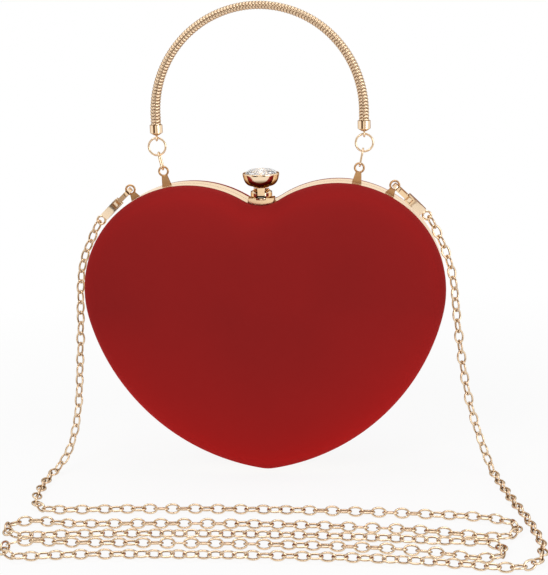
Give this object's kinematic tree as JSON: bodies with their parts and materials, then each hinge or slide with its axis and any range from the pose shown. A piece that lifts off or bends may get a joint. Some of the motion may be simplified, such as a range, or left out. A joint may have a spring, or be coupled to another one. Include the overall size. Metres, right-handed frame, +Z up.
{
  "type": "heart shaped purse",
  "caption": "Heart-shaped hard-case purse: domed velvet halves on hinged gilt frames, jewelled tilting clasp, snake-chain handle and a long link-chain strap.",
  "frame": {"origin": "underside of the handle's apex, where a hand or hook carries the purse", "axes": "+X to the purse's right as seen from the front, +Y to the rear, +Z up"},
  "size_m": [0.2471, 0.1616, 0.2364],
  "materials": {
    "velvet": "matte red velvet",
    "shell": "moulded",
    "lining": "satin lining",
    "gilt": "polished pale gold plating",
    "steel": "plain",
    "crystal": "cut and polished"
  },
  "bodies": {
    "front_half": {"front_velvet": "velvet", "front_shell": "shell", "front_lining": "lining", "front_frame": "gilt", "front_hinge_leaf": "gilt", "hinge_pin": "steel", "clasp_base": "gilt", "clasp_pin": "steel", "clasp_spring": "steel", "handle_tab_left": "gilt", "handle_tab_right": "gilt", "strap_tab_left": "gilt", "strap_tab_right": "gilt", "strap_hook_left": "gilt", "strap_hook_right": "gilt", "strap_gate_pin_left": "steel", "strap_gate_pin_right": "steel", "strap_swivel_left": "gilt", "strap_swivel_right": "gilt", "strap_chain_left": "gilt", "strap_chain_row_1": "gilt", "strap_chain_row_2": "gilt", "strap_chain_row_3": "gilt", "strap_chain_row_4": "gilt", "strap_chain_row_5": "gilt", "strap_chain_right": "gilt"},
    "rear_half": {"rear_velvet": "velvet", "rear_shell": "shell", "rear_lining": "lining", "rear_frame": "gilt", "rear_hinge_leaf": "gilt", "clasp_catch": "gilt"},
    "clasp": {"clasp_lever": "gilt", "clasp_cup": "gilt", "clasp_crystal": "crystal"},
    "handle_links": {"handle_link_left": "gilt", "handle_link_right": "gilt"},
    "handle_rings": {"handle_ring_left": "gilt", "handle_ring_right": "gilt"},
    "handle": {"handle_snake": "gilt", "handle_cap_left": "gilt", "handle_cap_right": "gilt"},
    "strap_gate_left": {"strap_gate_left": "gilt"},
    "strap_gate_right": {"strap_gate_right": "gilt"}
  },
  "joints": [
    {"name": "bag_opening", "type": "hinge", "parent": "front_half", "child": "rear_half", "pos_m": [0, 0.004, -0.22905], "axis": [-1, 0, 0], "range_deg": [0, 60]},
    {"name": "clasp_tilt", "type": "hinge", "parent": "front_half", "child": "clasp", "pos_m": [0, 0, -0.08713], "axis": [1, 0, 0], "range_deg": [0, 12], "stiffness_Nm_per_rad": 0.08, "springref_deg": -8.59, "deforming": ["clasp_spring"]},
    {"name": "handle_links", "type": "hinge", "parent": "front_half", "child": "handle_links", "pos_m": [0, 0, -0.07385], "axis": [1, 0, 0], "range_deg": [-30, 45]},
    {"name": "handle_rings", "type": "hinge", "parent": "handle_links", "child": "handle_rings", "pos_m": [0, 0, -0.06796], "axis": [1, 0, 0], "range_deg": [-30, 45]},
    {"name": "handle", "type": "hinge", "parent": "handle_rings", "child": "handle", "pos_m": [0, 0, -0.05965], "axis": [1, 0, 0], "range_deg": [-35, 45]},
    {"name": "strap_gate_left", "type": "hinge", "parent": "front_half", "child": "strap_gate_left", "pos_m": [-0.07219, -0.0026, -0.09154], "axis": [-0.6947, 0, 0.7193], "range_deg": [0, 18], "stiffness_Nm_per_rad": 0.004, "springref_deg": -11.46},
    {"name": "strap_gate_right", "type": "hinge", "parent": "front_half", "child": "strap_gate_right", "pos_m": [0.07219, -0.0026, -0.09154], "axis": [-0.6947, 0, -0.7193], "range_deg": [0, 18], "stiffness_Nm_per_rad": 0.004, "springref_deg": -11.46}
  ]
}
